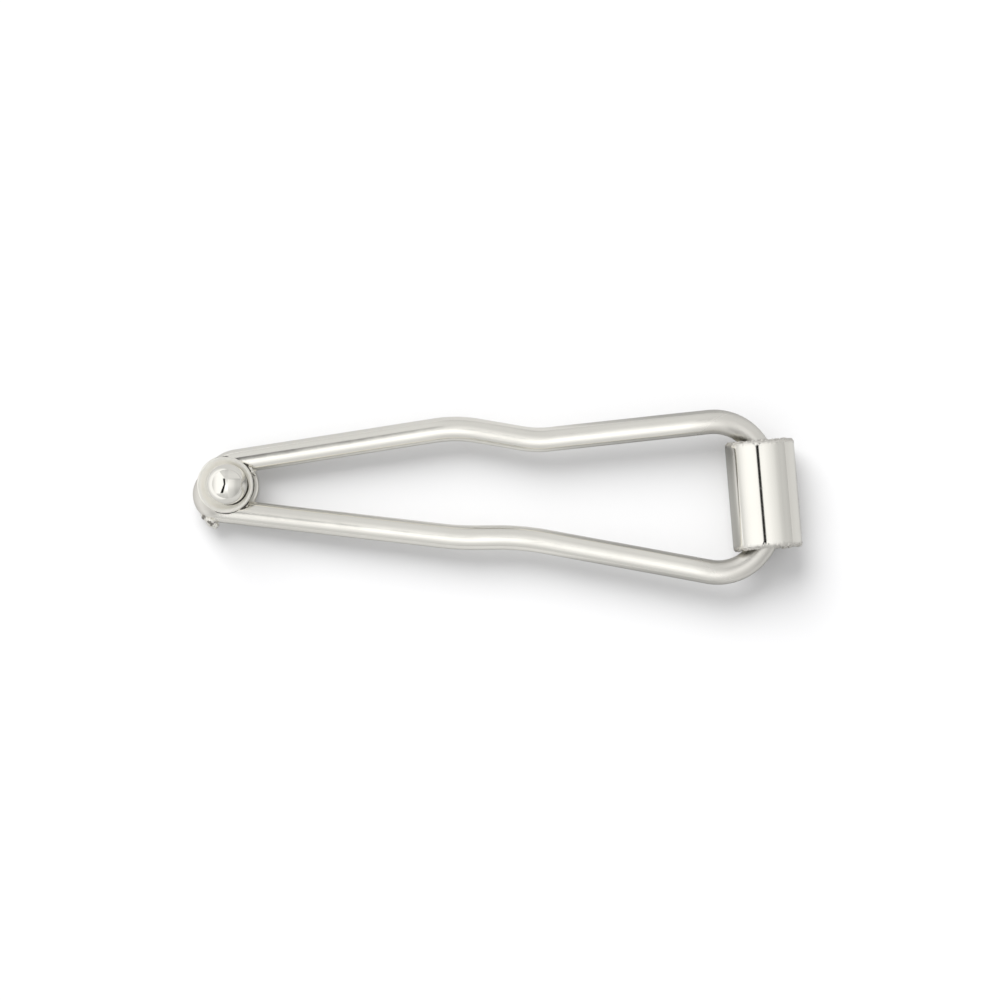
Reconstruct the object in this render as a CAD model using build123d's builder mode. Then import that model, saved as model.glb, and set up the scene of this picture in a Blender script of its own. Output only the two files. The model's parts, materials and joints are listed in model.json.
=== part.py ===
"""Sterling silver money clip: a waisted wire bail hinged on a short barrel, with a ball button at its nose.

Frame: +X runs from the nose to the barrel, +Y across the two legs, +Z up.
The clip lies on the floor, and the origin is under the middle of its box. Millimetres.
"""

from build123d import *
import math
import os

# Wire of the bail
wire_diameter = 2.0

# Barrel and the bush inside it
barrel_diameter = 5.65
barrel_wall = 0.5
barrel_length = 8.9
barrel_cant = 5.8  # degrees between the barrel and a right angle to the clip's length
outer_rim_round = 0.3
inner_rim_round = 0.15
bush_length = 5.0
bush_chamfer = 0.2
journal_clearance = 0.05  # radial, between each turned wire end and the bush

# Corners of the two legs in the bail's own plane, measured from the barrel's middle:
# X from the nose towards the barrel, Y across. The clip is bent by hand, so the legs differ.
upper_leg = [(-44.03, 1.825), (-25.2, 5.1), (-18.7, 4.1), (-2.4, 6.15)]
lower_leg = [(-46.9, -1.8), (-24.8, -3.95), (-19.8, -3.8), (-1.95, -6.75)]
upper_radii = [2.2, 10.6, 8.8, 4.1]
lower_radii = [1.3, 22.0, 22.0, 4.1]
mouth_corner = 3.8  # along the barrel's axis, from its middle to where each end turns in
mouth_radius = 2.45
journal_tip = 0.3  # along the barrel's axis, from its middle to the tip of each wire end

# Button at the nose: two washers over and under the wire, a ball and the post through them
eye_x = -43.95  # middle of both washers, over the nose's bend
eye_y = 0.0
post_off_middle = 0.27  # the ball and its post stand this far off it, towards the barrel
front_washer_diameter = 4.6
front_washer_thickness = 0.6
front_washer_round = 0.15
dish_diameter = 4.0
dish_depth = 0.12
back_washer_diameter = 5.1
back_washer_thickness = 0.6
back_washer_round = 0.12
ball_diameter = 3.3
ball_flat_depth = 0.25  # filed off the ball where it sits on the washer
post_diameter = 0.7
post_clearance = 0.02
post_depth_in_ball = 1.4
rivet_flare = 0.3  # the foot of the post is spread into a countersink by this much

# The clip's own box, measured once: the barrel's middle stands here from the origin
barrel_from_origin_x = 21.725
barrel_from_origin_y = 0.25

# Worked out from the dimensions above
wire_radius = wire_diameter / 2
barrel_radius = barrel_diameter / 2
bore_radius = barrel_radius - barrel_wall
cant = math.radians(barrel_cant)
button_half_height = wire_radius + back_washer_thickness
edge_reach = -eye_x * math.cos(cant) - eye_y * math.sin(cant) + back_washer_diameter / 2


def washer_edge_height(tip):
    """Height of the back washer's lowest edge when the bail is tipped by this angle."""
    corner_x = edge_reach - back_washer_round
    corner_z = button_half_height - back_washer_round
    return barrel_radius - corner_x * math.sin(tip) - corner_z * math.cos(tip) - back_washer_round


# The bail tips down to the nose until the back washer's edge is on the floor
least_tip = 0.0
most_tip = 0.1
while most_tip - least_tip > 1e-9:
    tip_angle = (least_tip + most_tip) / 2
    if washer_edge_height(tip_angle) > 0:
        least_tip = tip_angle
    else:
        most_tip = tip_angle

# The bail's plane holds the barrel's axis, so both turned ends are in line with it
barrel_middle = Vector(barrel_from_origin_x, barrel_from_origin_y, barrel_radius)
barrel_direction = Vector(-math.sin(cant), math.cos(cant), 0)
level_part = math.cos(tip_angle)
square_to_barrel = Vector(
    math.cos(cant) * level_part, math.sin(cant) * level_part, math.sin(tip_angle)
)
bail_up = square_to_barrel.cross(barrel_direction)
bail_along = square_to_barrel * math.cos(cant) - barrel_direction * math.sin(cant)
bail_plane = Plane(origin=barrel_middle, x_dir=bail_along, z_dir=bail_up)
barrel_plane = Plane(origin=barrel_middle, x_dir=(0, 0, 1), z_dir=barrel_direction)
button_middle = bail_plane.from_local_coords(Vector(eye_x, eye_y, 0))
button_axis = Axis(button_middle, bail_up)
button_section = Plane(
    origin=button_middle, x_dir=bail_along, z_dir=bail_along.cross(bail_up)
)
post_place = button_middle + bail_along * post_off_middle
post_axis = Axis(post_place, bail_up)
post_section = Plane(origin=post_place, x_dir=bail_along, z_dir=bail_along.cross(bail_up))


def on_barrel_axis(distance):
    """A point in the bail's plane, this far along the barrel's axis from its middle."""
    return (-math.sin(cant) * distance, math.cos(cant) * distance)


def keep(piece, name):
    """Labels a finished piece and writes its file."""
    piece.label = name
    export_step(piece, f"parts/{name}.step")


os.makedirs("parts", exist_ok=True)

# One length of round wire: from inside the barrel, down one leg, round the nose and back
with BuildPart() as bail_wire:
    with BuildLine(bail_plane) as wire_path:
        FilletPolyline(
            on_barrel_axis(journal_tip),
            on_barrel_axis(mouth_corner),
            *reversed(upper_leg),
            *lower_leg,
            on_barrel_axis(-mouth_corner),
            on_barrel_axis(-journal_tip),
            radius=[mouth_radius, *reversed(upper_radii), *lower_radii, mouth_radius],
        )
    with BuildSketch(Plane(origin=wire_path.line @ 0, z_dir=wire_path.line % 0)):
        Circle(wire_radius)
    sweep(path=wire_path.line)
keep(bail_wire.part, "bail_wire")

# The barrel is a short length of tube with softened rims
with BuildPart() as hinge_barrel:
    with BuildSketch(barrel_plane.offset(-barrel_length / 2)):
        Circle(barrel_radius)
        Circle(bore_radius, mode=Mode.SUBTRACT)
    extrude(amount=barrel_length)
    rims = hinge_barrel.edges().filter_by(GeomType.CIRCLE).group_by(SortBy.RADIUS)
    fillet(rims[0], radius=inner_rim_round)
    rims = hinge_barrel.edges().filter_by(GeomType.CIRCLE).group_by(SortBy.RADIUS)
    fillet(rims[-1], radius=outer_rim_round)
keep(hinge_barrel.part, "hinge_barrel")

# The bush fills the middle of the tube and carries the two turned wire ends
with BuildPart() as pivot_bush:
    with BuildSketch(barrel_plane.offset(-bush_length / 2)):
        Circle(bore_radius)
        Circle(wire_radius + journal_clearance, mode=Mode.SUBTRACT)
    extrude(amount=bush_length)
    mouths = pivot_bush.edges().filter_by(GeomType.CIRCLE).group_by(SortBy.RADIUS)[0]
    chamfer(mouths, length=bush_chamfer)
keep(pivot_bush.part, "pivot_bush")

# Heights in the button, from the middle of the wire
front_face = wire_radius + front_washer_thickness
seat = front_face - dish_depth
ball_middle = seat + ball_diameter / 2 - ball_flat_depth
post_hole_radius = post_diameter / 2 + post_clearance
post_top = seat + post_depth_in_ball
foot = -wire_radius - back_washer_thickness

# What the post needs cut out of both washers: its hole, and a countersink for its foot
with BuildPart() as post_hole:
    with BuildSketch(post_section):
        with BuildLine():
            Polyline(
                (0, foot),
                (post_hole_radius + rivet_flare, foot),
                (post_hole_radius, foot + rivet_flare),
                (post_hole_radius, front_face),
                (0, front_face),
                close=True,
            )
        make_face()
    revolve(axis=post_axis)

# The front washer lies on the wire, with a shallow dish that the ball sits in
with BuildPart() as front_washer:
    with BuildSketch(button_section):
        with BuildLine():
            Polyline(
                (0, wire_radius),
                (front_washer_diameter / 2, wire_radius),
                (front_washer_diameter / 2, front_face),
                (dish_diameter / 2, front_face),
                (dish_diameter / 2 - dish_depth, seat),
                (0, seat),
                close=True,
            )
        make_face()
    revolve(axis=button_axis)
    rims = front_washer.edges().filter_by(GeomType.CIRCLE).group_by(SortBy.RADIUS)
    fillet(rims[-1], radius=front_washer_round)
    add(post_hole.part, mode=Mode.SUBTRACT)
keep(front_washer.part, "front_washer")

# The back washer lies under the wire and is countersunk below for the riveted foot
with BuildPart() as back_washer:
    with BuildSketch(button_section):
        with BuildLine():
            Polyline(
                (0, -wire_radius),
                (back_washer_diameter / 2, -wire_radius),
                (back_washer_diameter / 2, foot),
                (0, foot),
                close=True,
            )
        make_face()
    revolve(axis=button_axis)
    rims = back_washer.edges().filter_by(GeomType.CIRCLE).group_by(SortBy.RADIUS)
    fillet(rims[-1], radius=back_washer_round)
    add(post_hole.part, mode=Mode.SUBTRACT)
keep(back_washer.part, "back_washer")

# The post passes through both washers and the nose's bend, and ends inside the ball
with BuildPart() as ball_post:
    with BuildSketch(post_section):
        with BuildLine():
            Polyline(
                (0, foot),
                (post_diameter / 2 + rivet_flare, foot),
                (post_diameter / 2, foot + rivet_flare),
                (post_diameter / 2, post_top),
                (0, post_top),
                close=True,
            )
        make_face()
    revolve(axis=post_axis)
keep(ball_post.part, "ball_post")

# The ball has a small flat below, with a blind hole for the post
with BuildPart() as nose_ball:
    with BuildSketch(post_section) as ball_section:
        with Locations((0, ball_middle)):
            Circle(ball_diameter / 2)
        with Locations((0, seat)):
            Rectangle(
                ball_diameter, ball_diameter, align=(Align.CENTER, Align.MAX), mode=Mode.SUBTRACT
            )
            Rectangle(
                2 * post_hole_radius,
                post_depth_in_ball + post_clearance,
                align=(Align.CENTER, Align.MIN),
                mode=Mode.SUBTRACT,
            )
        with Locations((0, ball_middle)):
            Rectangle(
                ball_diameter, ball_diameter, align=(Align.MAX, Align.CENTER), mode=Mode.SUBTRACT
            )
    revolve(axis=post_axis)
keep(nose_ball.part, "nose_ball")

whole = Compound(
    [
        bail_wire.part,
        hinge_barrel.part,
        pivot_bush.part,
        front_washer.part,
        back_washer.part,
        ball_post.part,
        nose_ball.part,
    ]
).bounding_box()
wire_length = wire_path.wires()[0].length
section_volume = math.pi * wire_radius**2 * wire_length
print("wire length", round(wire_length, 2))
print("wire volume", round(bail_wire.part.volume, 2), "from its length", round(section_volume, 2))
print("box", whole.min, whole.max, "middle", whole.center())
print("tip", round(math.degrees(tip_angle), 3), "barrel middle", barrel_middle, "axis", barrel_direction)
print("button middle", button_middle, "up", bail_up)
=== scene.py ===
# %% [markdown]
# # A silver money clip
# The clip is one length of polished wire, bent into a waisted loop. Its two ends turn into a short
# barrel, which it hinges on, and a ball-topped button closes the narrow end. The engineering model
# gives the places and sizes. Here each piece is made again as a jeweller would leave it: drawn,
# bent, turned, soldered and polished.

# %% Load the frame
import bmesh
import bpy
import json
import math
from mathutils import Matrix, Vector, noise


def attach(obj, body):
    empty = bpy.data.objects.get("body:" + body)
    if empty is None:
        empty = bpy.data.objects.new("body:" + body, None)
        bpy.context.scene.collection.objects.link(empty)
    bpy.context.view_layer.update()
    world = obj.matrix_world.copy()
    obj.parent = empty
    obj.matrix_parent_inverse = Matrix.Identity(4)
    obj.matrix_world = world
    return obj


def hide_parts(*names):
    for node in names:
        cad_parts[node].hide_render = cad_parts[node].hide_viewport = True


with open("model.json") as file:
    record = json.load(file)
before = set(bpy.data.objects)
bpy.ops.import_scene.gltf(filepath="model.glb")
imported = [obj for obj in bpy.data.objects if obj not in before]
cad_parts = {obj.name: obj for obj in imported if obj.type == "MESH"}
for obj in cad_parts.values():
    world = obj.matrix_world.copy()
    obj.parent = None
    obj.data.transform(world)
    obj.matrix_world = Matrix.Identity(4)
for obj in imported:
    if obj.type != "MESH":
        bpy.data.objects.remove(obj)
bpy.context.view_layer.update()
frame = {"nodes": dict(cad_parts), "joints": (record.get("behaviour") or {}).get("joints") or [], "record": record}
MM = 0.001
print("nodes", sorted(frame["nodes"]))

# %% [markdown]
# ## Where things are
# The wire lies in a plane that tips down to the nose, and the barrel's axis lies in that plane
# too. The hinge gives the axis, and the back washer's face gives the way up, so the rest follows
# from those two. Lengths below are in millimetres from the barrel's middle, along the clip and
# across it.

# %% The bail's own plane
pivot = frame["joints"][0]
barrel_middle = Vector(pivot["pos_m"])
barrel_axis = Vector(pivot["axis"]).normalized()
mounts = {mount["name"]: mount for mount in frame["record"]["mounts"]}
bail_up = -Vector(mounts["back_face"]["axis"]).normalized()
cant = math.atan2(-barrel_axis.x, barrel_axis.y)
square_to_barrel = barrel_axis.cross(bail_up)
bail_along = square_to_barrel * math.cos(cant) - barrel_axis * math.sin(cant)
bail_across = bail_up.cross(bail_along)


def in_bail(along, across, up=0.0):
    """A place in the bail's own plane, in metres in the shared frame."""
    return barrel_middle + (bail_along * along + bail_across * across + bail_up * up) * MM


def axes_at(origin, x_axis, y_axis, z_axis):
    """A matrix that puts a piece made at the origin where it belongs."""
    turn = Matrix((x_axis, y_axis, z_axis)).transposed().to_4x4()
    return Matrix.Translation(origin) @ turn


print("cant", round(math.degrees(cant), 2), "degrees")

# %% [markdown]
# ## Silver, and the marks on it
# Sterling silver is nearly white, a little warm, and reflects almost everything, so it is drawn as
# bare metal whose look comes from the lights. What tells it from chrome is its surface: hairlines
# from the polishing wheel, a faint orange-peel from tumbling, and a duller tone in the crevices.
# Each effect is a group with named sockets, so that every finish can use it in its own measure.


# %% A helper for shader groups
def new_group(name, inputs, outputs):
    """An empty shader group with named sockets: {name: (kind, default)} in, {name: kind} out."""
    group = bpy.data.node_groups.new(name, "ShaderNodeTree")
    for label, (kind, default) in inputs.items():
        socket = group.interface.new_socket(label, in_out="INPUT", socket_type=kind)
        socket.default_value = default
    for label, kind in outputs.items():
        group.interface.new_socket(label, in_out="OUTPUT", socket_type=kind)
    return group, group.nodes.new("NodeGroupInput"), group.nodes.new("NodeGroupOutput")


def add_node(tree, kind, values=None, **settings):
    """A node with its settings and its unlinked input values."""
    node = tree.nodes.new(kind)
    for key, value in settings.items():
        setattr(node, key, value)
    for key, value in (values or {}).items():
        node.inputs[key].default_value = value
    return node


def math_node(tree, operation, first, second=None):
    """A Math node whose two inputs are sockets or numbers. Gives its output socket."""
    node = add_node(tree, "ShaderNodeMath", operation=operation)
    for index, given in enumerate((first, second)):
        if given is None:
            continue
        if isinstance(given, (int, float)):
            node.inputs[index].default_value = given
        else:
            tree.links.new(given, node.inputs[index])
    return node.outputs[0]


def map_range(tree, value, from_low, from_high, to_low=0.0, to_high=1.0, smooth=True):
    """A Map Range node. Gives its output socket."""
    kind = "SMOOTHSTEP" if smooth else "LINEAR"
    node = add_node(tree, "ShaderNodeMapRange", interpolation_type=kind)
    for label, number in (
        ("From Min", from_low),
        ("From Max", from_high),
        ("To Min", to_low),
        ("To Max", to_high),
    ):
        node.inputs[label].default_value = number
    tree.links.new(value, node.inputs["Value"])
    return node.outputs["Result"]


def tone_ramp(tree, value, stops):
    """Tones between stops of (value, tone), for tones of up to 2. Gives its output socket."""
    low, high = stops[0][0], stops[-1][0]
    node = add_node(tree, "ShaderNodeValToRGB")
    ramp = node.color_ramp
    for index, (place, tone) in enumerate(stops):
        spot = (place - low) / (high - low)
        if index == 0:
            stop = ramp.elements[0]
        elif index == len(stops) - 1:
            stop = ramp.elements[-1]
        else:
            stop = ramp.elements.new(spot)
        stop.position = spot
        stop.color = (tone / 2, tone / 2, tone / 2, 1)
    tree.links.new(map_range(tree, value, low, high, smooth=False), node.inputs["Fac"])
    return math_node(tree, "MULTIPLY", node.outputs["Color"], 2.0)


# %% [markdown]
# ### Hairlines
# A hairline is long and very thin, so noise is squeezed hard one way and only its crests are
# kept. Three sets at different angles cross each other, as they do when a piece is wiped and
# carried.

# %% Hairline scratches
HAIRLINE_SETS = ((0.35, 0.05), (-0.9, 0.08), (1.9, 0.06))


def make_hairlines():
    """A group that masks thin scratches. Each set has an angle in radians and a squeeze."""
    group, given, result = new_group(
        "polishing_hairlines",
        {"Vector": ("NodeSocketVector", (0, 0, 0)), "Fineness": ("NodeSocketFloat", 5000.0)},
        {"Mask": "NodeSocketFloat"},
    )
    crests = []
    for turn, squeeze in HAIRLINE_SETS:
        squeezed = add_node(group, "ShaderNodeMapping", {"Rotation": (0.4 * turn, 0.3, turn)})
        squeezed.inputs["Scale"].default_value = (squeeze, 1.0, 1.0)
        group.links.new(given.outputs["Vector"], squeezed.inputs["Vector"])
        grain = add_node(group, "ShaderNodeTexNoise", {"Detail": 3.0, "Roughness": 0.6})
        group.links.new(squeezed.outputs["Vector"], grain.inputs["Vector"])
        group.links.new(given.outputs["Fineness"], grain.inputs["Scale"])
        crests.append(map_range(group, grain.outputs["Fac"], 0.62, 0.72))
    both = math_node(group, "MAXIMUM", crests[0], crests[1])
    group.links.new(math_node(group, "MAXIMUM", both, crests[2]), result.inputs["Mask"])
    return group


hairlines = make_hairlines()

# %% [markdown]
# ### Tumbling and tone
# Silver that has been tumbled with shot keeps a shallow unevenness, and its tone drifts slowly
# over the surface. One group gives both, as a height and a mask. A second group masks the
# crevices, where polishing compound and a little tarnish stay.


# %% Tumbled surface and tone
def make_tumbled():
    """A group that gives the fine unevenness of tumbled silver and a slow drift of its tone."""
    group, given, result = new_group(
        "tumbled_surface",
        {"Vector": ("NodeSocketVector", (0, 0, 0)), "Fineness": ("NodeSocketFloat", 700.0)},
        {"Height": "NodeSocketFloat", "Drift": "NodeSocketFloat"},
    )
    fine = add_node(group, "ShaderNodeTexNoise", {"Detail": 2.0, "Roughness": 0.45})
    group.links.new(given.outputs["Vector"], fine.inputs["Vector"])
    group.links.new(given.outputs["Fineness"], fine.inputs["Scale"])
    group.links.new(fine.outputs["Fac"], result.inputs["Height"])
    slow = add_node(group, "ShaderNodeTexNoise", {"Scale": 140.0, "Detail": 3.0})
    group.links.new(given.outputs["Vector"], slow.inputs["Vector"])
    group.links.new(map_range(group, slow.outputs["Fac"], 0.3, 0.7), result.inputs["Drift"])
    return group


def make_crevice_tone():
    """A group that masks the hollows of a surface, more in some places than in others."""
    group, given, result = new_group(
        "crevice_tone",
        {"Pointiness": ("NodeSocketFloat", 0.5), "Drift": ("NodeSocketFloat", 0.5)},
        {"Crevice": "NodeSocketFloat"},
    )
    hollow = map_range(group, given.outputs["Pointiness"], 0.5, 0.44)
    share = map_range(group, given.outputs["Drift"], 0, 1, 0.5, 1)
    group.links.new(math_node(group, "MULTIPLY", hollow, share), result.inputs["Crevice"])
    return group


tumbled = make_tumbled()
crevice_tone = make_crevice_tone()
print("shader groups", [group.name for group in (hairlines, tumbled, crevice_tone)])

# %% [markdown]
# ### The finishes
# One function makes every finish, because they are all the same metal. They differ in how rough
# they were left, how deep the tumbled surface is, how deep the hairlines are, and in their tone.
# A piece can also carry a value called dulled, and where that is high the polish fails.

# %% Silver finishes
WARM_SILVER = (0.93, 0.912, 0.852, 1.0)
GREY_SILVER = (0.80, 0.785, 0.745, 1.0)
CREVICE_GREY = (0.20, 0.185, 0.165, 1.0)
# Painted shade: the dark colour of the ring under the ball and of the lines under the washer's edge.
PAINTED_SHADE_DARK = (0.10, 0.095, 0.085, 1.0)
DULLED_GREY = (0.66, 0.64, 0.60, 1.0)
DULLED_SHARE = 0.7
DULLED_ROUGHNESS = 0.3
DULLED_PEEL = 0.012
HAIRLINE_ROUGHNESS = 0.06
CREVICE_ROUGHNESS = 0.25
DRIFT_DARKENING = 0.965


def silver(
    name, roughness, peel, hairline, tone=WARM_SILVER, peel_fineness=700.0, haze=0.03, pitted=0.0
):
    """A silver finish. Peel and hairline are depths in millimetres, and haze adds roughness."""
    material = bpy.data.materials.new(name)
    material.use_nodes = True
    tree = material.node_tree
    shader = tree.nodes["Principled BSDF"]
    shader.inputs["Metallic"].default_value = 1.0
    place = add_node(tree, "ShaderNodeTexCoord").outputs["Object"]
    point = add_node(tree, "ShaderNodeNewGeometry").outputs["Pointiness"]

    def use(group, **links):
        node = add_node(tree, "ShaderNodeGroup", node_tree=group)
        for label, socket in links.items():
            tree.links.new(socket, node.inputs[label])
        return node

    peeled = use(tumbled, Vector=place)
    peeled.inputs["Fineness"].default_value = peel_fineness
    lines = use(hairlines, Vector=place)
    crevice = use(crevice_tone, Pointiness=point, Drift=peeled.outputs["Drift"])

    drifted = add_node(tree, "ShaderNodeMix", data_type="RGBA")
    drifted.inputs["A"].default_value = tone
    darker = tuple(DRIFT_DARKENING * channel for channel in tone[:3])
    drifted.inputs["B"].default_value = darker + (1.0,)
    tree.links.new(peeled.outputs["Drift"], drifted.inputs["Factor"])
    dulled_skin = add_node(tree, "ShaderNodeAttribute", attribute_name="dulled").outputs["Fac"]
    greyed = add_node(tree, "ShaderNodeMix", data_type="RGBA")
    greyed.inputs["B"].default_value = DULLED_GREY
    tree.links.new(math_node(tree, "MULTIPLY", dulled_skin, DULLED_SHARE), greyed.inputs["Factor"])
    tree.links.new(drifted.outputs["Result"], greyed.inputs["A"])
    pits = map_range(tree, peeled.outputs["Height"], 0.47, 0.38, 0.0, pitted)
    dark = math_node(tree, "MAXIMUM", crevice.outputs["Crevice"], pits)
    toned = add_node(tree, "ShaderNodeMix", data_type="RGBA")
    toned.inputs["B"].default_value = CREVICE_GREY
    tree.links.new(greyed.outputs["Result"], toned.inputs["A"])
    tree.links.new(dark, toned.inputs["Factor"])
    tree.links.new(toned.outputs["Result"], shader.inputs["Base Color"])

    patches = map_range(tree, peeled.outputs["Drift"], 0, 1, roughness, roughness + haze)
    unbuffed = math_node(tree, "MULTIPLY", dulled_skin, DULLED_ROUGHNESS)
    patches = math_node(tree, "ADD", patches, unbuffed)
    scratched = math_node(tree, "MULTIPLY", lines.outputs["Mask"], HAIRLINE_ROUGHNESS)
    dirty = math_node(tree, "MULTIPLY", crevice.outputs["Crevice"], CREVICE_ROUGHNESS)
    rough = math_node(tree, "ADD", patches, math_node(tree, "ADD", scratched, dirty))
    tree.links.new(rough, shader.inputs["Roughness"])

    cut = math_node(tree, "MULTIPLY", lines.outputs["Mask"], -hairline * MM)
    deepest = (peel + DULLED_PEEL) * MM
    coarse = map_range(tree, dulled_skin, 0, 1, peel * MM, deepest, smooth=False)
    raised = math_node(tree, "MULTIPLY", peeled.outputs["Height"], coarse)
    bump = add_node(tree, "ShaderNodeBump", {"Strength": 1.0, "Distance": 1.0})
    tree.links.new(math_node(tree, "ADD", cut, raised), bump.inputs["Height"])
    tree.links.new(bump.outputs["Normal"], shader.inputs["Normal"])
    return material


finishes = {
    "wire": silver("polished_wire_silver", 0.13, 0.005, 0.0006),
    "tube": silver("polished_tube_silver", 0.06, 0.002, 0.0004),
    "ball": silver("bright_ball_silver", 0.03, 0.001, 0.0002, haze=0.01),
    "washer": silver("tumbled_washer_silver", 0.42, 0.008, 0.0008, peel_fineness=3500.0),
    "solder": silver(
        "solder_silver", 0.20, 0.02, 0.0, peel_fineness=2600.0, haze=0.15, pitted=0.9
    ),
    # Painted shade, for the ring under the ball and the lines under the washer's edge.
    "painted_shade": silver("painted_shade_silver", 0.42, 0.004, 0.0, PAINTED_SHADE_DARK, 3000.0),
    "plain": silver("unpolished_silver", 0.36, 0.008, 0.001, GREY_SILVER, 3000.0),
}
print("finishes", sorted(finishes))

# %% [markdown]
# ## The wire
# The real wire was drawn through a plate, so it is round and even, then bent cold round pegs. A
# straight run and a bend repeat along its whole length, which is a rule, so nodes make it: the
# corners are joined, each is rounded by its own bend radius, and a circle is carried along. The
# legs differ a little because it was bent by hand.

# %% Corners and bends of the wire
WIRE_RADIUS = 1.0
JOURNAL_TIP = 0.3
MOUTH_CORNER = 3.8
MOUTH_BEND = 2.45
SHOULDER_BEND = 4.1
upper_leg = [(-2.4, 6.15), (-18.7, 4.1), (-25.2, 5.1), (-44.03, 1.825)]
upper_bends = [SHOULDER_BEND, 8.8, 10.6, 2.2]
lower_leg = [(-46.9, -1.8), (-24.8, -3.95), (-19.8, -3.8), (-1.95, -6.75)]
lower_bends = [1.3, 22.0, 22.0, SHOULDER_BEND]


def on_barrel_axis(distance):
    """A place on the barrel's axis, as along and across in the bail's plane."""
    return (-math.sin(cant) * distance, math.cos(cant) * distance)


wire_corners = [on_barrel_axis(JOURNAL_TIP), on_barrel_axis(MOUTH_CORNER)]
wire_corners += upper_leg + lower_leg
wire_corners += [on_barrel_axis(-MOUTH_CORNER), on_barrel_axis(-JOURNAL_TIP)]
wire_bends = [0.0, MOUTH_BEND] + upper_bends + lower_bends + [MOUTH_BEND, 0.0]
print("corners", len(wire_corners))

# %% [markdown]
# ### Making and handing over a piece
# Every piece goes the same way: its mesh is made where it belongs, its faces are shaded smooth
# with the true edges kept crisp, and it gets its finish. Then it is hung on the empty of the body it
# rides on, so that it moves with that body, and the engineering part it stands for is hidden.


# %% Helpers for meshes
def plain_object(name, points, edges=(), faces=()):
    """A mesh object at the origin, linked to the scene."""
    mesh = bpy.data.meshes.new(name)
    mesh.from_pydata([tuple(point) for point in points], list(edges), list(faces))
    made = bpy.data.objects.new(name, mesh)
    bpy.context.scene.collection.objects.link(made)
    return made


def triangles(piece):
    """How many triangles a piece's faces make."""
    return sum(len(face.vertices) - 2 for face in piece.data.polygons)


def smooth(piece, sharp_degrees=40.0):
    """Smooth shading, with edges sharper than the angle kept crisp."""
    for face in piece.data.polygons:
        face.use_smooth = True
    piece.data.set_sharp_from_angle(angle=math.radians(sharp_degrees))


def mark_dulled(piece, how_dull):
    """Writes how dull the skin is at each point, from 0 to 1, for the finishes to read."""
    dulled = piece.data.attributes.new("dulled", "FLOAT", "POINT")
    for index, vertex in enumerate(piece.data.vertices):
        dulled.data[index].value = min(1.0, max(0.0, how_dull(vertex.co)))


def settle(piece, finish, body, node):
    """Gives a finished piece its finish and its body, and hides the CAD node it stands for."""
    piece.data.materials.clear()
    piece.data.materials.append(finishes[finish])
    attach(piece, body)
    if node:
        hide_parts(node)
    print(piece.name, triangles(piece), "triangles")


# %% [markdown]
# ### Nodes that draw the wire
# Mesh to Curve joins the corners, Fillet Curve rounds them, Resample Curve spaces the rings evenly
# so that reflections run smoothly, and Curve to Mesh carries the round section along. Last, the
# skin is moved by a few thousandths of a millimetre, as drawn wire that was bent and hammered is.


# %% The wire-drawing tree
def node_input(tree, label):
    """The identifier of a tree's input, by its name."""
    for item in tree.interface.items_tree:
        if item.in_out == "INPUT" and item.name == label:
            return item.identifier
    raise KeyError(label)


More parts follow.
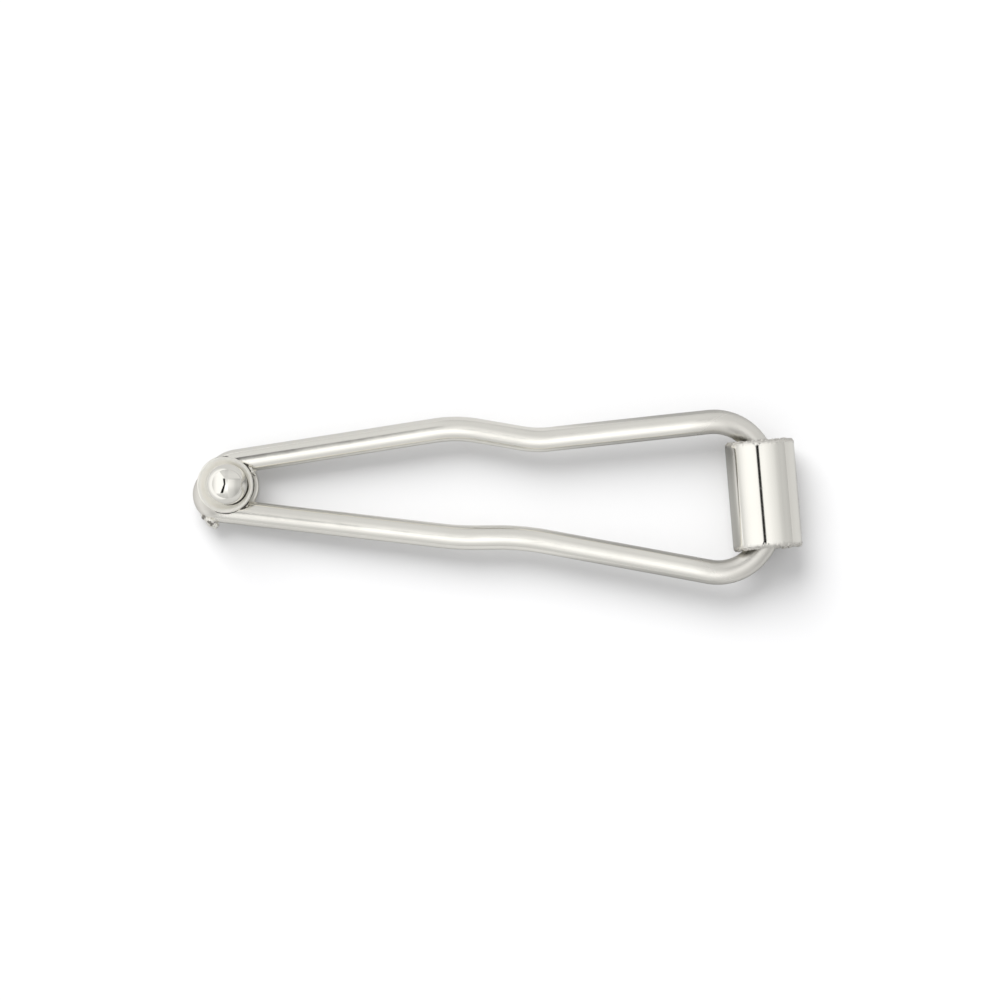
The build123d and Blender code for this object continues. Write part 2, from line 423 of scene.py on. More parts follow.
def make_wire_tree():
    """A tree that turns a line of corners into drawn and bent wire."""
    tree = bpy.data.node_groups.new("drawn_and_bent_wire", "GeometryNodeTree")
    face = tree.interface
    face.new_socket("Geometry", in_out="INPUT", socket_type="NodeSocketGeometry")
    for label, kind in (
        ("Wire radius", "NodeSocketFloat"),
        ("Ring spacing", "NodeSocketFloat"),
        ("Unevenness", "NodeSocketFloat"),
        ("Unevenness scale", "NodeSocketFloat"),
        ("Sides", "NodeSocketInt"),
        ("Steps in a bend", "NodeSocketInt"),
        ("Seed", "NodeSocketInt"),
        ("Finish", "NodeSocketMaterial"),
    ):
        face.new_socket(label, in_out="INPUT", socket_type=kind)
    face.new_socket("Geometry", in_out="OUTPUT", socket_type="NodeSocketGeometry")
    given = tree.nodes.new("NodeGroupInput")
    result = tree.nodes.new("NodeGroupOutput")
    link = tree.links.new

    joined = tree.nodes.new("GeometryNodeMeshToCurve")
    link(given.outputs["Geometry"], joined.inputs["Mesh"])
    bend = tree.nodes.new("GeometryNodeInputNamedAttribute")
    bend.data_type = "FLOAT"
    bend.inputs["Name"].default_value = "bend_radius"
    rounded = tree.nodes.new("GeometryNodeFilletCurve")
    rounded.mode = "POLY"
    link(joined.outputs["Curve"], rounded.inputs["Curve"])
    link(bend.outputs["Attribute"], rounded.inputs["Radius"])
    link(given.outputs["Steps in a bend"], rounded.inputs["Count"])
    spaced = tree.nodes.new("GeometryNodeResampleCurve")
    spaced.mode = "LENGTH"
    link(rounded.outputs["Curve"], spaced.inputs["Curve"])
    link(given.outputs["Ring spacing"], spaced.inputs["Length"])
    section = tree.nodes.new("GeometryNodeCurvePrimitiveCircle")
    link(given.outputs["Wire radius"], section.inputs["Radius"])
    link(given.outputs["Sides"], section.inputs["Resolution"])
    skin = tree.nodes.new("GeometryNodeCurveToMesh")
    skin.inputs["Fill Caps"].default_value = True
    link(spaced.outputs["Curve"], skin.inputs["Curve"])
    link(section.outputs["Curve"], skin.inputs["Profile Curve"])

    wobble = tree.nodes.new("ShaderNodeTexNoise")
    wobble.noise_dimensions = "4D"
    wobble.inputs["Detail"].default_value = 1.0
    link(given.outputs["Unevenness scale"], wobble.inputs["Scale"])
    link(given.outputs["Seed"], wobble.inputs["W"])
    centred = add_node(tree, "ShaderNodeMath", {1: 0.5}, operation="SUBTRACT")
    link(wobble.outputs["Fac"], centred.inputs[0])
    depth = add_node(tree, "ShaderNodeMath", operation="MULTIPLY")
    link(centred.outputs[0], depth.inputs[0])
    link(given.outputs["Unevenness"], depth.inputs[1])
    outward = tree.nodes.new("GeometryNodeInputNormal")
    push = add_node(tree, "ShaderNodeVectorMath", operation="SCALE")
    link(outward.outputs["Normal"], push.inputs[0])
    link(depth.outputs[0], push.inputs["Scale"])
    moved = tree.nodes.new("GeometryNodeSetPosition")
    link(skin.outputs["Mesh"], moved.inputs["Geometry"])
    link(push.outputs["Vector"], moved.inputs["Offset"])

    whole = tree.nodes.new("GeometryNodeRealizeInstances")
    link(moved.outputs["Geometry"], whole.inputs["Geometry"])
    finished = tree.nodes.new("GeometryNodeSetMaterial")
    link(whole.outputs["Geometry"], finished.inputs["Geometry"])
    link(given.outputs["Finish"], finished.inputs["Material"])
    link(finished.outputs["Geometry"], result.inputs["Geometry"])
    return tree


wire_tree = make_wire_tree()

# %% [markdown]
# ### Drawing the wire
# The corners are joined in the order the wire takes: out of one end of the barrel, down the upper
# leg, round the nose and back up the lower leg into the barrel's other end. The finished skin is
# then marked dull at the nose, where solder kept the buff away, and partly dull at the barrel.


# %% Draw the wire
def apply_tree(source, tree, settings, name):
    """Runs a tree on an object and gives the result as a plain mesh object."""
    modifier = source.modifiers.new(tree.name, "NODES")
    modifier.node_group = tree
    for label, value in settings.items():
        modifier[node_input(tree, label)] = value
    bpy.context.view_layer.update()
    evaluated = source.evaluated_get(bpy.context.evaluated_depsgraph_get())
    mesh = bpy.data.meshes.new_from_object(evaluated)
    mesh.name = name
    made = bpy.data.objects.new(name, mesh)
    bpy.context.scene.collection.objects.link(made)
    source.modifiers.clear()
    bpy.data.objects.remove(source)
    return made


corner_places = [in_bail(*corner) for corner in wire_corners]
corner_links = [(index, index + 1) for index in range(len(corner_places) - 1)]
wire_line = plain_object("wire_corners", corner_places, corner_links)
radii = wire_line.data.attributes.new("bend_radius", "FLOAT", "POINT")
for index, bend_radius in enumerate(wire_bends):
    radii.data[index].value = bend_radius * MM
bail = apply_tree(
    wire_line,
    wire_tree,
    {
        "Wire radius": WIRE_RADIUS * MM,
        "Ring spacing": 0.16 * MM,
        "Unevenness": 0.03 * MM,
        "Unevenness scale": 260.0,
        "Sides": 48,
        "Steps in a bend": 28,
        "Seed": 4,
        "Finish": finishes["wire"],
    },
    "bail_wire_drawn",
)
smooth(bail)
nose = in_bail(-45.2, -0.6)
NOSE_REACH = 2.5
NOSE_FADE = 0.8
MOUTH_REACH = 8.4
MOUTH_FADE = 1.5
MOUTH_DULLNESS = 0.6


def badly_buffed(place):
    """Dull at the nose, and partly dull where the barrel keeps the buff away."""
    at_nose = (NOSE_REACH - (place - nose).length / MM) / NOSE_FADE
    at_mouth = min(1.0, (MOUTH_REACH - (place - barrel_middle).length / MM) / MOUTH_FADE)
    return max(at_nose, MOUTH_DULLNESS * at_mouth)


mark_dulled(bail, badly_buffed)
settle(bail, "wire", "bail", "bail_wire")

# %% [markdown]
# ## Turned pieces
# The barrel, its bush, the washers, the post and the ball are all round about an axis, so each is
# a section turned once round, as on a lathe. The section's corners are rounded by small arcs,
# because a real edge is never sharp and its rounding catches the light.

# %% A lathe
ARC_STEPS = 7


def rounded_section(corners, closed):
    """Points of a section. Each corner is (radius from axis, height, rounding)."""
    points = []
    count = len(corners)
    for index, (r, z, rounding) in enumerate(corners):
        here = Vector((r, z))
        at_end = not closed and index in (0, count - 1)
        if rounding <= 0 or at_end:
            points.append(here)
            continue
        before = Vector(corners[index - 1][:2]) - here
        after = Vector(corners[(index + 1) % count][:2]) - here
        half_angle = before.angle(after) / 2
        first = here + before.normalized() * (rounding / math.tan(half_angle))
        inward = (before.normalized() + after.normalized()).normalized()
        centre = here + inward * (rounding / math.sin(half_angle))
        spoke = first - centre
        sweep = math.pi - 2 * half_angle
        if before.cross(after) > 0:
            sweep = -sweep
        for step in range(ARC_STEPS + 1):
            angle = sweep * step / ARC_STEPS
            turned_spoke = (
                spoke.x * math.cos(angle) - spoke.y * math.sin(angle),
                spoke.x * math.sin(angle) + spoke.y * math.cos(angle),
            )
            points.append(centre + Vector(turned_spoke))
    return points


def turned(name, section, closed, placement, segments=160, reshape=None):
    """Turns a section (radius, height in mm) about Z, and puts it in place in metres."""
    shape = bmesh.new()
    rings = []
    for r, z in section:
        if abs(r) < 1e-7:
            rings.append([shape.verts.new((0, 0, z))])
            continue
        ring = []
        for step in range(segments):
            angle = 2 * math.pi * step / segments
            ring.append(shape.verts.new((r * math.cos(angle), r * math.sin(angle), z)))
        rings.append(ring)
    pairs = list(zip(rings, rings[1:]))
    if closed:
        pairs.append((rings[-1], rings[0]))
    for low, high in pairs:
        for step in range(segments):
            ahead = (step + 1) % segments
            corners = [low[step % len(low)], low[ahead % len(low)]]
            corners += [high[ahead % len(high)], high[step % len(high)]]
            unique = list(dict.fromkeys(corners))
            if len(unique) > 2:
                shape.faces.new(unique)
    bmesh.ops.recalc_face_normals(shape, faces=shape.faces)
    if reshape:
        shape.normal_update()
        moved = [(vertex, reshape(vertex.co, vertex.normal)) for vertex in shape.verts]
        for vertex, place in moved:
            vertex.co = place
    bmesh.ops.scale(shape, vec=(MM, MM, MM), verts=shape.verts)
    bmesh.ops.transform(shape, matrix=placement, verts=shape.verts)
    made = plain_object(name, [])
    shape.to_mesh(made.data)
    shape.free()
    smooth(made)
    return made


def spaced(section, spacing, closed):
    """Adds points to a section's long runs, so that its skin can be moved finely."""
    out = []
    ends = list(zip(section, section[1:]))
    if closed:
        ends.append((section[-1], section[0]))
    for start, end in ends:
        steps = max(1, round((end - start).length / spacing))
        out += [start.lerp(end, step / steps) for step in range(steps)]
    if not closed:
        out.append(section[-1])
    return out


# %% [markdown]
# ### The barrel
# The barrel is a slice of tube. Sawing and filing leave its two rims grainy and a little dented,
# while its side is polished until it mirrors. So the skin is moved by noise only near the rims,
# and only there is it marked dull.

# %% Turn the barrel
BARREL_RADIUS = 2.825
BARREL_BORE = 2.325
BARREL_HALF = 4.45
RIM_ROUND = 0.3
RIM_INNER_ROUND = 0.15
RIM_GRAIN = 0.15
GRAIN_REACH = 0.5
DULL_FROM = 4.0
DULL_FADE = 0.25


def filed_rims(place, outward):
    """Moves the skin near the barrel's ends into filed grain, and leaves its side alone."""
    nearness = (abs(place.z) - (BARREL_HALF - GRAIN_REACH)) / GRAIN_REACH
    if nearness <= 0:
        return place.copy()
    nearness = nearness * nearness * (3 - 2 * nearness)
    pits = 0.8 * noise.noise(place * 2.1) + noise.noise(place * 5.5 + Vector((7, 3, 1)))
    pits += 0.9 * noise.noise(place * 11.0)
    return place + outward * RIM_GRAIN * nearness * (0.6 * pits - 0.35)


def unbuffed_rims(place):
    """Dull near the barrel's two ends only."""
    from_middle = abs((place - barrel_middle).dot(barrel_axis)) / MM
    return (from_middle - DULL_FROM) / DULL_FADE


top = Vector((0, 0, 1))
barrel_placement = axes_at(barrel_middle, top.cross(barrel_axis), top, barrel_axis)
barrel_section = rounded_section(
    [
        (BARREL_RADIUS, -BARREL_HALF, RIM_ROUND),
        (BARREL_RADIUS, BARREL_HALF, RIM_ROUND),
        (BARREL_BORE, BARREL_HALF, RIM_INNER_ROUND),
        (BARREL_BORE, -BARREL_HALF, RIM_INNER_ROUND),
    ],
    closed=True,
)
barrel = turned(
    "hinge_barrel_polished",
    spaced(barrel_section, 0.12, closed=True),
    True,
    barrel_placement,
    segments=300,
    reshape=filed_rims,
)
mark_dulled(barrel, unbuffed_rims)
settle(barrel, "tube", "barrel", "hinge_barrel")

# %% [markdown]
# ### The bush
# The tube is much wider than the wire, so a bush inside it holds the two turned ends. It is
# pressed in and never seen from above, and it keeps its turned, unpolished face.

# %% Turn the bush
BUSH_HALF = 2.5
BUSH_BORE = 1.05
BUSH_CHAMFER = 0.2
bush_section = [
    Vector((BARREL_BORE, -BUSH_HALF)),
    Vector((BARREL_BORE, BUSH_HALF)),
    Vector((BUSH_BORE + BUSH_CHAMFER, BUSH_HALF)),
    Vector((BUSH_BORE, BUSH_HALF - BUSH_CHAMFER)),
    Vector((BUSH_BORE, BUSH_CHAMFER - BUSH_HALF)),
    Vector((BUSH_BORE + BUSH_CHAMFER, -BUSH_HALF)),
]
bush = turned("pivot_bush_turned", spaced(bush_section, 0.3, True), True, barrel_placement, 128)
settle(bush, "plain", "barrel", "pivot_bush")

# %% [markdown]
# ## The button
# Two washers hold the bend at the nose between them. A ball sits in the dished top washer, and a
# post runs down from inside it and is riveted over below. Heights are from the wire's middle.

# %% Sizes of the button
EYE = (-43.95, 0.0)
WASHER_THICKNESS = 0.6
FRONT_RADIUS = 2.3
BACK_RADIUS = 2.55
DISH_DEPTH = 0.12
BOWL_OUT = 2.1
BOWL_IN = 1.58
BOWL_STEPS = 10
BALL_RADIUS = 1.65
BALL_FLAT = 0.25
POST_RADIUS = 0.35
HOLE_RADIUS = 0.37
POST_IN_BALL = 1.4
BLIND_HOLE_SPARE = 0.02
FOOT_RECESS = 0.01
RIVET_FLARE = 0.3
FRONT_FACE = WIRE_RADIUS + WASHER_THICKNESS
SEAT = FRONT_FACE - DISH_DEPTH
BALL_MIDDLE = SEAT + BALL_RADIUS - BALL_FLAT
FOOT = -WIRE_RADIUS - WASHER_THICKNESS
POST_OFF_MIDDLE = 0.27
button_placement = axes_at(in_bail(*EYE), bail_along, bail_across, bail_up)
post_place = in_bail(EYE[0] + POST_OFF_MIDDLE, EYE[1])
post_placement = axes_at(post_place, bail_along, bail_across, bail_up)

# %% [markdown]
# ### The washers
# The front washer was punched and struck, which dished it and left its edge soft and not quite
# even. The back one is plain, with a countersink below that the post's foot fills. Both are turned
# round, and then their holes are moved over to the post, which stands a little off the middle.

# %% Turn the washers
SHIFT_ENDS = 1.7
SHIFT_WHOLE = 0.95


def hole_off_middle(place, outward):
    """Moves a washer's hole over to the post, and leaves its outer part alone."""
    share = (SHIFT_ENDS - place.to_2d().length) / (SHIFT_ENDS - SHIFT_WHOLE)
    return place + Vector((POST_OFF_MIDDLE * min(1.0, max(0.0, share)), 0, 0))


def struck(place, outward):
    """A washer with its hole moved, and the unevenness that striking leaves on it."""
    uneven = 0.022 * noise.noise(place * 1.3) + 0.006 * noise.noise(place * 5.0)
    return hole_off_middle(place, outward) + outward * uneven


def dish_height(radius):
    """Height of the front washer's dished face, this far from its middle."""
    share = min(1.0, max(0.0, (BOWL_OUT - radius) / (BOWL_OUT - BOWL_IN)))
    return FRONT_FACE - DISH_DEPTH * (1 - math.cos(math.pi * share)) / 2


front_section = rounded_section(
    [
        (HOLE_RADIUS, SEAT, 0.03),
        (HOLE_RADIUS, WIRE_RADIUS, 0.04),
        (FRONT_RADIUS, WIRE_RADIUS, 0.15),
        (FRONT_RADIUS, FRONT_FACE, 0.13),
        (BOWL_OUT, FRONT_FACE, 0),
    ],
    closed=False,
)
for step in range(1, BOWL_STEPS + 1):
    radius = BOWL_OUT + (BOWL_IN - BOWL_OUT) * step / BOWL_STEPS
    front_section.append(Vector((radius, dish_height(radius))))
front_washer = turned(
    "front_washer_struck",
    spaced(front_section, 0.12, True),
    True,
    button_placement,
    reshape=struck,
)
settle(front_washer, "washer", "bail", "front_washer")

back_section = rounded_section(
    [
        (HOLE_RADIUS, -WIRE_RADIUS, 0.03),
        (BACK_RADIUS, -WIRE_RADIUS, 0.12),
        (BACK_RADIUS, FOOT, 0.12),
        (HOLE_RADIUS + RIVET_FLARE, FOOT, 0.02),
        (HOLE_RADIUS, FOOT + RIVET_FLARE, 0.02),
    ],
    closed=True,
)
back_washer = turned(
    "back_washer_flat",
    spaced(back_section, 0.15, True),
    True,
    button_placement,
    reshape=hole_off_middle,
)
settle(back_washer, "washer", "bail", "back_washer")

# %% [markdown]
# ### The ball and its post
# The ball is turned as most of a circle above a small filed flat, with a blind hole for the post.
# The post's foot is spread by the riveting hammer into the countersink.

# %% Turn the ball and the post
BALL_STEPS = 90
flat_angle = math.asin((BALL_RADIUS - BALL_FLAT) / BALL_RADIUS)
blind_end = SEAT + POST_IN_BALL + BLIND_HOLE_SPARE
ball_section = [
    Vector((0, blind_end)),
    Vector((HOLE_RADIUS, blind_end)),
    Vector((HOLE_RADIUS, SEAT)),
]
for step in range(BALL_STEPS + 1):
    angle = -flat_angle + (math.pi / 2 + flat_angle) * step / BALL_STEPS
    out = BALL_RADIUS * math.cos(angle) if step < BALL_STEPS else 0.0
    ball_section.append(Vector((out, BALL_MIDDLE + BALL_RADIUS * math.sin(angle))))
ball = turned("nose_ball_bright", ball_section, False, post_placement, 180)
settle(ball, "ball", "bail", "nose_ball")

post_section = rounded_section(
    [
        (0, FOOT + FOOT_RECESS, 0),
        (POST_RADIUS + RIVET_FLARE, FOOT + FOOT_RECESS, 0.04),
        (POST_RADIUS, FOOT + RIVET_FLARE, 0.03),
        (POST_RADIUS, SEAT + POST_IN_BALL, 0.08),
        (0, SEAT + POST_IN_BALL, 0),
    ],
    closed=False,
)
post = turned("ball_post_riveted", spaced(post_section, 0.15, False), False, post_placement, 96)
settle(post, "plain", "bail", "ball_post")

# %% [markdown]
# ## Solder
# The button is held by hard solder as well as by its rivet. Solder runs into the corners where the
# wire passes under the washers, sets in small uneven fillets, and here it also left one pitted
# blob at the nose. Each lump starts as a stretched ball; joined, remeshed and smoothed, they flow
# together as molten metal does. Then noise cuts the pits.

# %% Run the solder
VOXEL = 0.045
SMOOTHINGS = 4
PIT_DEPTH = 0.085
# Each lump is (along, across), height and half sizes, in millimetres.
solder_lumps = [
    ((-45.10, -2.92), 0.15, (0.50, 0.48, 0.50)),
    ((-44.82, -3.22), -0.05, (0.31, 0.30, 0.38)),
    ((-45.60, -2.48), 0.05, (0.42, 0.38, 0.42)),
    ((-41.80, 1.10), 0.80, (0.22, 0.15, 0.15)),
    ((-41.95, 1.38), 0.88, (0.30, 0.14, 0.13)),
    ((-41.62, 0.88), 0.60, (0.15, 0.13, 0.15)),
    ((-42.30, -1.62), 0.90, (0.26, 0.12, 0.11)),
    ((-42.00, 1.55), -0.95, (0.60, 0.24, 0.20)),
    ((-42.10, -1.70), -0.95, (0.60, 0.24, 0.20)),
]
lumps = bmesh.new()
for (along, across), up, size in solder_lumps:
    placement = axes_at(in_bail(along, across, up), bail_along, bail_across, bail_up)
    stretch = Matrix.Diagonal((size[0] * MM, size[1] * MM, size[2] * MM, 1))
    bmesh.ops.create_icosphere(lumps, subdivisions=3, radius=1.0, matrix=placement @ stretch)
solder = plain_object("nose_solder", [])
lumps.to_mesh(solder.data)
lumps.free()
flow = solder.modifiers.new("flow", "REMESH")
flow.mode = "VOXEL"
flow.voxel_size = VOXEL * MM
evaluated = solder.evaluated_get(bpy.context.evaluated_depsgraph_get())
flowed = bpy.data.meshes.new_from_object(evaluated)
solder.modifiers.clear()
solder.data = flowed

surface = bmesh.new()
surface.from_mesh(solder.data)
every_way = {"use_axis_x": True, "use_axis_y": True, "use_axis_z": True}
for _ in range(SMOOTHINGS):
    bmesh.ops.smooth_vert(surface, verts=surface.verts, factor=0.5, **every_way)
surface.normal_update()
moves = []
for vertex in surface.verts:
    place = vertex.co / MM
    pits = noise.noise(place * 2.6) + 0.7 * noise.noise(place * 6.5)
    moves.append((vertex, vertex.co + vertex.normal * (PIT_DEPTH * pits * MM)))
for vertex, place in moves:
    vertex.co = place
surface.to_mesh(solder.data)
surface.free()
smooth(solder, 60)
settle(solder, "solder", "bail", None)

# %% [markdown]
# ### The painted shade under the ball
# The corner under the ball lies in shade, and that shade is painted as a very thin dark ring. The ring
# is a little wider on the side towards the barrel, and the ball mirrors it as a dark line.

# %% Painted shade ring under the ball
RING_IN = 0.80
RING_OUT = 1.58
RING_THICKNESS = 0.02
RING_SHIFT = 0.10


def lying_in_dish(place, outward):
    """Moves the ring's outer edge over, and lets it follow the dished face."""
    share = (place.to_2d().length - RING_IN) / (RING_OUT - RING_IN)
    moved = place + Vector((RING_SHIFT * share, -RING_SHIFT * share, 0))
    from_middle = (moved + Vector((POST_OFF_MIDDLE, 0, 0))).to_2d().length
    return moved + Vector((0, 0, dish_height(from_middle) - SEAT))


ring_section = rounded_section(
    [
        (RING_IN, SEAT - 0.01, 0),
        (RING_OUT, SEAT - 0.01, 0),
        (RING_OUT - 0.04, SEAT + RING_THICKNESS, 0.01),
        (RING_IN, SEAT + RING_THICKNESS, 0),
    ],
    closed=True,
)
# A thin ring of painted shade on the dished face, under the ball.
ring = turned(
    "painted_shade_ring", spaced(ring_section, 0.1, True), True, post_placement, 128, lying_in_dish
)
settle(ring, "painted_shade", "bail", None)

# %% [markdown]
# ### The painted shade beside the button
# Where the wire passes under the front washer there is a thin crack, and shade falls in it and under
# the washer's edge. That shade is painted as a dark line. It is carried round the washer as a thin thread
# that tapers to almost nothing at both ends.

# %% Painted shade under the washer's edge
THINNEST = 0.004


def painted_shade_line(name, radius, up, thickness, start, end):
    """A thin tapering thread of painted shade round the washer. Angles in degrees, zero towards the barrel."""
    steps, sides = 48, 8
    points = []
    for step in range(steps + 1):
        share = step / steps
        angle = math.radians(start + (end - start) * share)
        uneven = 1 + 0.5 * noise.noise(Vector((9 * share, radius, start)))
        half = max(THINNEST, thickness / 2 * uneven * math.sin(math.pi * share) ** 0.5)
        for side in range(sides):
            round_angle = 2 * math.pi * side / sides
            out = radius + half * math.cos(round_angle)
            lift = up + half * math.sin(round_angle)
            points.append(
                in_bail(EYE[0] + out * math.cos(angle), EYE[1] + out * math.sin(angle), lift)
            )
    faces = []
    for step in range(steps):
        for side in range(sides):
            ahead = (side + 1) % sides
            low, high = step * sides, (step + 1) * sides
            faces.append((low + side, high + side, high + ahead, low + ahead))
    faces.append(tuple(range(sides)))
    faces.append(tuple(steps * sides + side for side in reversed(range(sides))))
    line = plain_object(name, points, faces=faces)
    skin = bmesh.new()
    skin.from_mesh(line.data)
    bmesh.ops.recalc_face_normals(skin, faces=skin.faces)
    skin.to_mesh(line.data)
    skin.free()
    smooth(line, 60)
    settle(line, "painted_shade", "bail", None)


# Threads of painted shade along the front washer's edge.
painted_shade_line("painted_shade_below_edge", 2.30, 1.05, 0.17, -112, -62)
painted_shade_line("painted_shade_at_lower_leg", 2.33, 1.02, 0.22, -58, -34)
painted_shade_line("painted_shade_beside_edge", 2.30, 1.02, 0.13, -30, 22)
painted_shade_line("painted_shade_at_upper_leg", 2.32, 1.02, 0.14, 28, 52)
painted_shade_line("painted_shade_above_edge", 2.28, 1.02, 0.20, 84, 100)

# %% [markdown]
# ## Floor and light
# The clip lies on a plain white sheet of paper. Polished silver mirrors that sheet in every edge,
# and in a studio the sheet isn't evenly lit, so the paper has a second, painted tone that only
# reflections see. This painted shade runs along the clip and is greyest beside the barrel, where the clip shades
# it.

# %% Lay the floor
FLOOR_HALF = 0.9
PAPER_WHITE = (0.86, 0.86, 0.865, 1)
# Millimetres along the clip, and the paper's painted shade there as the silver mirrors it.
PAPER_REFLECTION_SHADE = [(-36, 0.84), (-26, 0.54), (-6, 0.58), (3, 0.64), (7, 0.46), (13, 0.36), (18, 0.38)]
PAPER_REFLECTION_SHADE += [(23, 0.50), (28, 0.59), (46, 0.55)]


def make_paper():
    """White paper, with painted shade in its reflection."""
    paper = bpy.data.materials.new("white_paper")
    paper.use_nodes = True
    tree = paper.node_tree
    shader = tree.nodes["Principled BSDF"]
    shader.inputs["Base Color"].default_value = PAPER_WHITE
    shader.inputs["Roughness"].default_value = 0.9
    shader.inputs["Specular IOR Level"].default_value = 0.1
    place = add_node(tree, "ShaderNodeSeparateXYZ")
    tree.links.new(add_node(tree, "ShaderNodeTexCoord").outputs["Object"], place.inputs[0])
    stops = [(along * MM, tone) for along, tone in PAPER_REFLECTION_SHADE]
    # Painted shade: the paper as the silver mirrors it is darkened by these tones.
    painted_paper_reflection = add_node(tree, "ShaderNodeBsdfDiffuse")
    tree.links.new(tone_ramp(tree, place.outputs["X"], stops), painted_paper_reflection.inputs["Color"])
    mirrored = add_node(tree, "ShaderNodeLightPath").outputs["Is Glossy Ray"]
    mixed = add_node(tree, "ShaderNodeMixShader")
    tree.links.new(mirrored, mixed.inputs[0])
    tree.links.new(shader.outputs[0], mixed.inputs[1])
    tree.links.new(painted_paper_reflection.outputs[0], mixed.inputs[2])
    tree.links.new(mixed.outputs[0], tree.nodes["Material Output"].inputs["Surface"])
    return paper


floor_corners = [
    (-FLOOR_HALF, -FLOOR_HALF, 0),
    (FLOOR_HALF, -FLOOR_HALF, 0),
    (FLOOR_HALF, FLOOR_HALF, 0),
    (-FLOOR_HALF, FLOOR_HALF, 0),
]
floor = plain_object("white_sheet", floor_corners, faces=[(0, 1, 2, 3)])
floor.data.materials.append(make_paper())
print("floor", 2 * FLOOR_HALF, "m across")

# %% [markdown]
# ### The camera
# The view is from almost straight above, so the wire's outline and the barrel show true. A long
# lens from far away keeps the ball and the barrel from leaning outwards.

# %% Point the camera
VIEW_ELEVATION = math.radians(88.0)
VIEW_TURN = math.radians(1.06)
FRAME_WIDTH = 81.8 * MM
LENS = 180.0
SENSOR = 36.0
view_distance = FRAME_WIDTH / SENSOR * LENS
view_right = Vector((math.cos(VIEW_TURN), math.sin(VIEW_TURN), 0))
view_level = Vector((-math.sin(VIEW_TURN), math.cos(VIEW_TURN), 0))
view_back = -view_level * math.cos(VIEW_ELEVATION) + Vector((0, 0, 1)) * math.sin(VIEW_ELEVATION)
view_up = view_back.cross(view_right)
middle_height = Vector((0, 0, 2.2 * MM))
aim = middle_height + view_right * 0.20 * MM - view_up * 0.55 * MM
camera_data = bpy.data.cameras.new("camera")
camera_data.lens = LENS
camera_data.sensor_width = SENSOR
camera_data.clip_start = 0.02
camera = bpy.data.objects.new("camera", camera_data)
camera.matrix_world = axes_at(aim + view_back * view_distance, view_right, view_up, view_back)
bpy.context.scene.collection.objects.link(camera)
bpy.context.scene.camera = camera
print("camera", round(view_distance, 3), "m away")

# %% [markdown]
# ### The studio panels
# A polished ball shows its whole studio on its face, so the studio is drawn as that ball would
# show it: x runs to the right over its face and y runs up. Each direction that the silver mirrors
# is first turned into its place on the ball. A wide soft panel hangs on the left, with its upper
# corner cut off. A second one on the right fades downwards, and a strip behind the camera gives
# the legs their highlight. Grey walls stand around. The thin dark gap between the panels gives
# polished silver its one black line. All other light is even, as from white walls.

# %% Hang the studio panels
WALL_TONES = (0.58, 0.62, 0.66, 0.70, 0.70, 0.72, 0.70, 0.74, 0.76, 0.70, 0.66)
LEFT_TONES = (0.64, 0.75, 0.95, 1.07, 1.12, 1.13, 1.12, 1.10, 1.0)
RIGHT_TONES = (1.08, 1.10, 1.02, 0.95, 0.88, 0.80, 0.67, 0.60, 0.61, 0.56, 0.50)
RIGHT_FADE = (0.60, 0.66, 0.71, 0.74, 0.77, 0.82, 0.92, 1.0, 1.02, 1.0, 0.97, 0.62)
STRIP_TONES = (0.46, 0.56, 0.66, 0.74, 0.97, 1.20, 1.26, 1.22)
STRIP_TONES += (1.04, 0.88, 0.76, 0.69, 0.71, 0.68, 0.60, 0.54)
EVEN_TONE = 0.68
PANEL_EDGE = 0.03
GAP_PLACE = -0.09
GAP_HALF_WIDTH = 0.040
GAP_EDGE = 0.012
GAP_TONE = 0.012


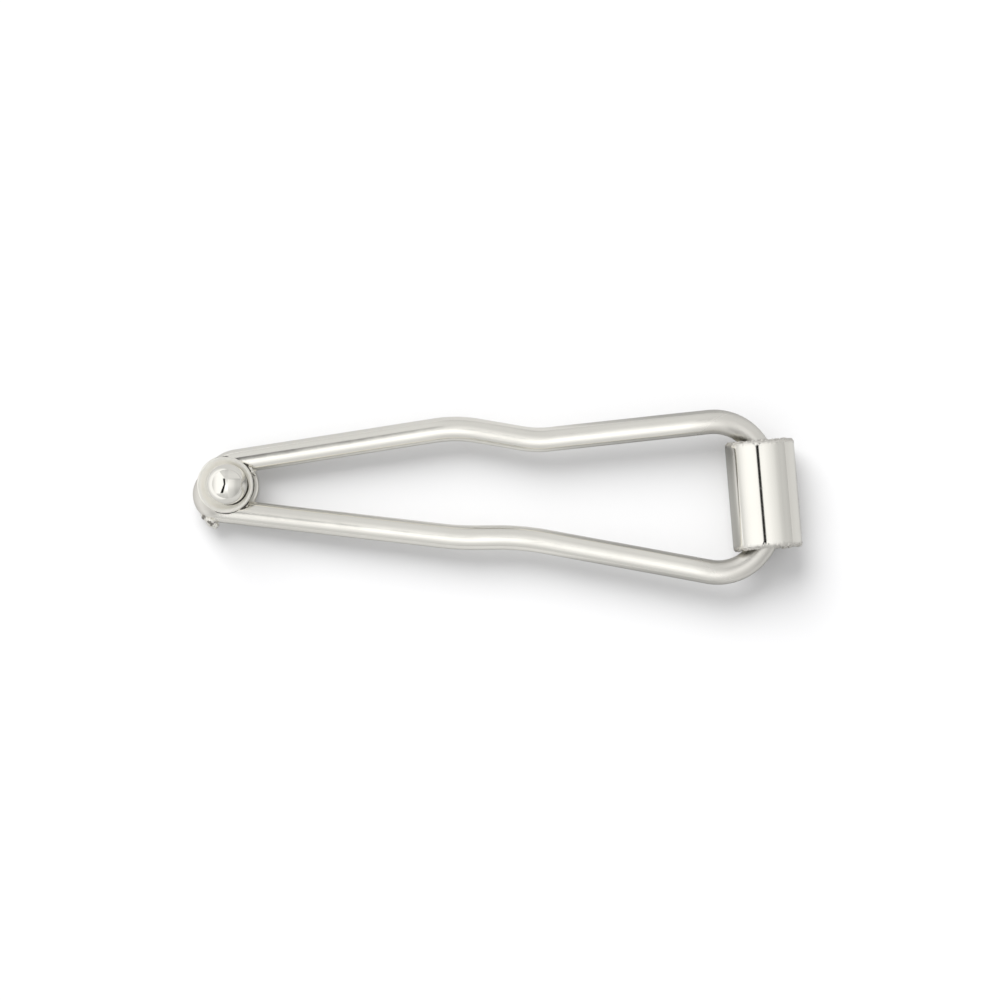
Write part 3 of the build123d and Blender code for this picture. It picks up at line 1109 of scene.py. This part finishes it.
def make_studio():
    """The world's shader: the drawn studio for reflections, and an even tone for the rest."""
    world = bpy.data.worlds.new("studio")
    world.use_nodes = True
    bpy.context.scene.world = world
    tree = world.node_tree
    tree.nodes.clear()
    link = tree.links.new

    def times(first, second):
        return math_node(tree, "MULTIPLY", first, second)

    def plus(first, second):
        return math_node(tree, "ADD", first, second)

    def part_along(axis):
        node = add_node(tree, "ShaderNodeVectorMath", {1: tuple(axis)}, operation="DOT_PRODUCT")
        link(unit.outputs[0], node.inputs[0])
        return node.outputs["Value"]

    def between(value, low, high, soft):
        """1 between two values and 0 outside them, with soft edges."""
        rise = map_range(tree, value, low - soft, low + soft)
        fall = map_range(tree, value, high - soft, high + soft, 1, 0)
        return times(rise, fall)

    def blend(base, over, mask):
        """Lays one tone over another where the mask is 1."""
        return plus(times(base, math_node(tree, "SUBTRACT", 1.0, mask)), times(over, mask))

    def profile(value, low, high, tones):
        """Brightness along one direction, from evenly spaced tones."""
        step = (high - low) / (len(tones) - 1)
        stops = [(low + step * index, tone) for index, tone in enumerate(tones)]
        return tone_ramp(tree, value, stops)

    way = add_node(tree, "ShaderNodeTexCoord").outputs["Generated"]
    half_way = add_node(tree, "ShaderNodeVectorMath", {1: tuple(view_back)}, operation="ADD")
    link(way, half_way.inputs[0])
    unit = add_node(tree, "ShaderNodeVectorMath", operation="NORMALIZE")
    link(half_way.outputs[0], unit.inputs[0])
    x = part_along(view_right)
    y = part_along(view_up)

    tone = profile(y, -0.8, 0.8, WALL_TONES)
    left_mask = times(between(x, -0.8, GAP_PLACE, PANEL_EDGE), between(y, -0.46, 0.68, 0.06))
    corner = plus(y, times(x, 1.2))
    left_mask = times(left_mask, map_range(tree, corner, 0.14, 0.22, 1, 0))
    tone = blend(tone, profile(x, -0.75, -0.11, LEFT_TONES), left_mask)
    right = times(profile(x, -0.05, 0.75, RIGHT_TONES), profile(y, -0.75, 0.3, RIGHT_FADE))
    right_mask = times(between(x, GAP_PLACE, 0.9, PANEL_EDGE), between(y, -0.85, 0.27, 0.05))
    tone = blend(tone, right, right_mask)
    strip = profile(y, -0.8, 0.8, STRIP_TONES)
    tone = blend(tone, strip, between(x, GAP_PLACE, 0.07, PANEL_EDGE))

    below = math_node(tree, "MINIMUM", y, 0.0)
    above = math_node(tree, "MAXIMUM", y, 0.0)
    slant = plus(times(below, 0.34), times(above, -0.12))
    from_slant = math_node(tree, "SUBTRACT", x, slant)
    off_gap = math_node(tree, "ABSOLUTE", plus(from_slant, -GAP_PLACE))
    half_width = plus(times(above, 0.04), plus(GAP_HALF_WIDTH, times(below, -0.07)))
    off_edge = math_node(tree, "SUBTRACT", off_gap, half_width)
    in_gap = map_range(tree, off_edge, -GAP_EDGE, GAP_EDGE, 1, 0)
    tone = blend(tone, GAP_TONE, times(in_gap, between(y, -0.44, 0.28, 0.03)))

    drawn = add_node(tree, "ShaderNodeBackground", {"Color": (1.0, 1.0, 1.0, 1)})
    link(tone, drawn.inputs["Strength"])
    even = add_node(tree, "ShaderNodeBackground", {"Color": (EVEN_TONE, EVEN_TONE, EVEN_TONE, 1)})
    mirrored = add_node(tree, "ShaderNodeLightPath").outputs["Is Glossy Ray"]
    mixed = add_node(tree, "ShaderNodeMixShader")
    link(mirrored, mixed.inputs[0])
    link(even.outputs[0], mixed.inputs[1])
    link(drawn.outputs[0], mixed.inputs[2])
    out = add_node(tree, "ShaderNodeOutputWorld")
    link(mixed.outputs[0], out.inputs["Surface"])
    print("studio", len(tree.nodes), "nodes")


make_studio()

# %% [markdown]
# ### The key light
# One very wide soft sun from the upper left gives the clip its faint shadow on the paper. The
# silver doesn't mirror it, because its reflections are already drawn. Standard colours keep the
# paper white.

# %% Hang the key light
KEY_STRENGTH = 2.42
KEY_WIDTH = math.radians(44)
key_data = bpy.data.lights.new("key", "SUN")
key_data.energy = KEY_STRENGTH
key_data.angle = KEY_WIDTH
key = bpy.data.objects.new("key", key_data)
key_from = (view_up * 0.9 - view_right * 0.45 + Vector((0, 0, 1))).normalized()
key.rotation_euler = key_from.to_track_quat("Z", "Y").to_euler()
key.visible_glossy = False
bpy.context.scene.collection.objects.link(key)
print("key light from", [round(part, 2) for part in key_from])

bpy.context.scene.view_settings.view_transform = "Standard"
bpy.context.scene.view_settings.look = "None"
